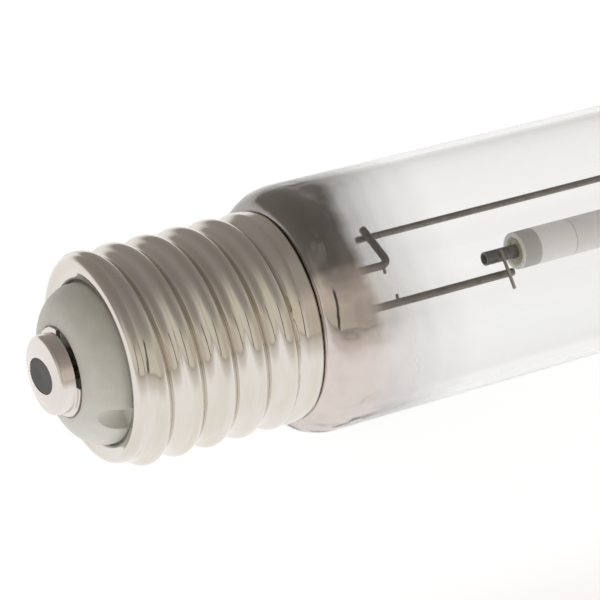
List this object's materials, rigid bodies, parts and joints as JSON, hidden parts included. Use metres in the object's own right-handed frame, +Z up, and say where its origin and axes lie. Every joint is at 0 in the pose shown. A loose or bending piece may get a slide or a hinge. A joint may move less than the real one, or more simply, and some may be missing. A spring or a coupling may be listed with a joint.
{
  "type": "grow lamp",
  "caption": "Tubular high-pressure sodium grow lamp: clear glass bulb with an alumina arc tube on a wire frame, a getter-mirrored neck and a large nickel-plated screw cap.",
  "frame": {"origin": "centre of the front plane of the end contact, on the lamp's axis", "axes": "+X along the lamp's axis from the end contact to the domed end of the bulb, +Z up, so the lamp lies level"},
  "size_m": [0.211, 0.0458, 0.0458],
  "materials": {
    "nickel_plate": "polished nickel plate on brass, warm",
    "solder": "dull grey solder",
    "insulator_ceramic": "matte grey-green",
    "basing_cement": "rough cement",
    "bulb_glass": "clear hard glass, with a dark getter mirror inside its neck",
    "nickel_wire": "dull drawn wire",
    "spring_steel": "bright rolled strip",
    "getter_steel": "dull pressed steel",
    "niobium": "dark satin tube",
    "tungsten": "dull grey wire",
    "alumina": "translucent white",
    "sealing_frit": "yellow-green fused frit",
    "sodium_amalgam": "silvery pill"
  },
  "bodies": {
    "root": {"contact_plate": "nickel_plate", "contact_solder": "solder", "insulator": "insulator_ceramic", "screw_shell": "nickel_plate", "basing_cement": "basing_cement", "side_weld": "solder", "outer_bulb": "bulb_glass", "stem_flare": "bulb_glass", "stem_press": "bulb_glass", "exhaust_tube": "bulb_glass", "outer_lead_centre": "nickel_wire", "outer_lead_side": "nickel_wire", "inner_lead_crossbar": "nickel_wire", "inner_lead_straight": "nickel_wire", "return_rod": "nickel_wire", "near_cross_wire": "nickel_wire", "far_cross_wire": "nickel_wire", "upper_dome_spring": "spring_steel", "lower_dome_spring": "spring_steel", "upper_getter_ring": "getter_steel", "lower_getter_ring": "getter_steel", "upper_getter_wire": "getter_steel", "lower_getter_wire": "getter_steel", "arc_tube": "alumina", "near_end_plug": "alumina", "far_end_plug": "alumina", "near_frit_ring": "sealing_frit", "far_frit_ring": "sealing_frit", "near_niobium_tube": "niobium", "far_niobium_tube": "niobium", "near_electrode_rod": "tungsten", "far_electrode_rod": "tungsten", "near_electrode_coil": "tungsten", "far_electrode_coil": "tungsten", "amalgam_pill": "sodium_amalgam"}
  },
  "joints": []
}
